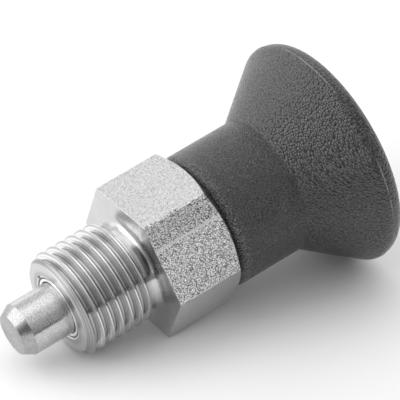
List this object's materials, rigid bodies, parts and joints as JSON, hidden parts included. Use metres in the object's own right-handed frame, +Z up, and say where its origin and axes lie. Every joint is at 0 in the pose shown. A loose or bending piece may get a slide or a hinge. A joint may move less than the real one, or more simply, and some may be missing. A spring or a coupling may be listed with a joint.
{
  "type": "indexing plunger",
  "caption": "Spring-loaded indexing plunger: fine-threaded hexagon sleeve, cylindrical locking pin and a mushroom grip that pulls the pin back.",
  "frame": {"origin": "on the surface the plunger lies on, under the middle of its overall length and width", "axes": "+X along the plunger as it lies, towards the grip; the plunger's own axis rises towards the grip by 11.9 degrees in the XZ plane; +Z up; one flat of the hexagon faces down"},
  "size_m": [0.0366, 0.0216, 0.0212],
  "materials": {
    "sleeve_steel": "turned and drawn bar, bright, unplated look",
    "bush_steel": "turned",
    "pin_steel": "ground",
    "spring_steel": "drawn spring wire",
    "grip_plastic": "fine leather-grained moulding, matt"
  },
  "bodies": {
    "sleeve": {"threaded_sleeve": "sleeve_steel", "rear_bush": "bush_steel"},
    "spring": {"compression_spring": "spring_steel"},
    "plunger": {"locking_pin": "pin_steel", "mushroom_grip": "grip_plastic"}
  },
  "joints": [
    {"name": "pull", "type": "slide", "parent": "sleeve", "child": "spring", "axis": [0.9785, 0, 0.2061], "range_m": [0, 0.005], "stiffness_N_per_m": 1224, "springref_m": -0.00409, "deforming": ["compression_spring"]},
    {"name": "spin", "type": "hinge", "parent": "spring", "child": "plunger", "pos_m": [-0.00533, 0, 0.00636], "axis": [0.9785, 0, 0.2061], "continuous": true}
  ]
}
